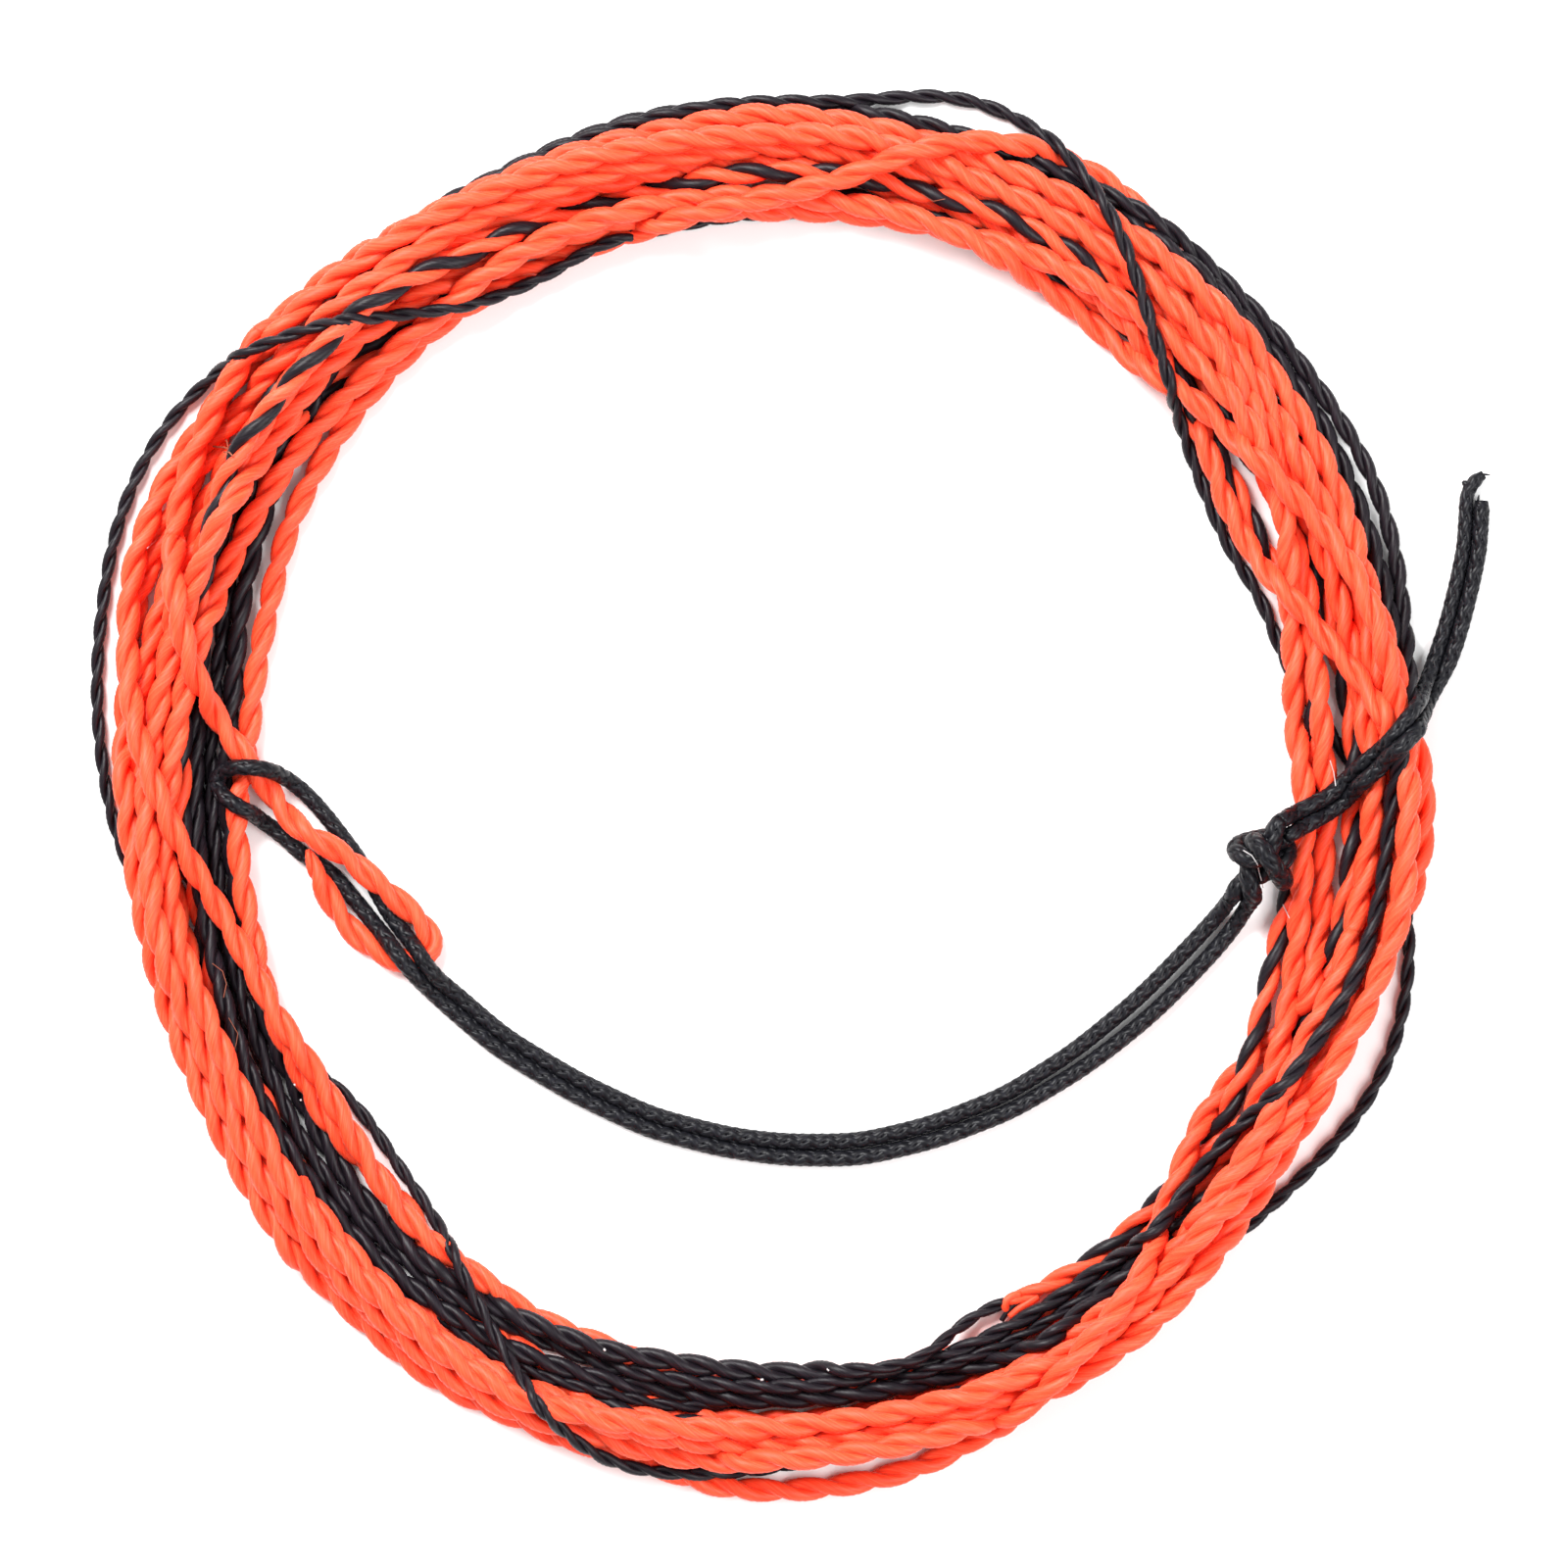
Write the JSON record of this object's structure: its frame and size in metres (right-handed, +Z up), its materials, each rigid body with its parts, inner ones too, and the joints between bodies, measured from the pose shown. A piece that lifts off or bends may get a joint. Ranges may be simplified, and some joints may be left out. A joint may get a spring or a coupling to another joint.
{
  "type": "furled fishing line with connector loop",
  "caption": "Two-ply furled line tapering from an orange butt to a black tip, hand coiled, with a knotted black braid connector looped through its eye.",
  "frame": {"origin": "on the surface that the coil lies on, under the middle of the whole part", "axes": "+Z up, across the coil's thin way; +X from the eye towards the connector's knot"},
  "size_m": [0.0716, 0.0724, 0.0065],
  "materials": {
    "orange_line": "silky two-ply multifilament",
    "striped_line": "one orange ply and one black ply",
    "black_line": "silky two-ply multifilament",
    "black_braid": "waxed round braid"
  },
  "bodies": {
    "root": {"black_section": "black_line", "striped_section": "striped_line", "orange_section": "orange_line", "butt_lead": "orange_line", "butt_eye": "orange_line", "connector_loop": "black_braid", "connector_knot": "black_braid", "long_tail": "black_braid", "short_tail": "black_braid"}
  },
  "joints": []
}
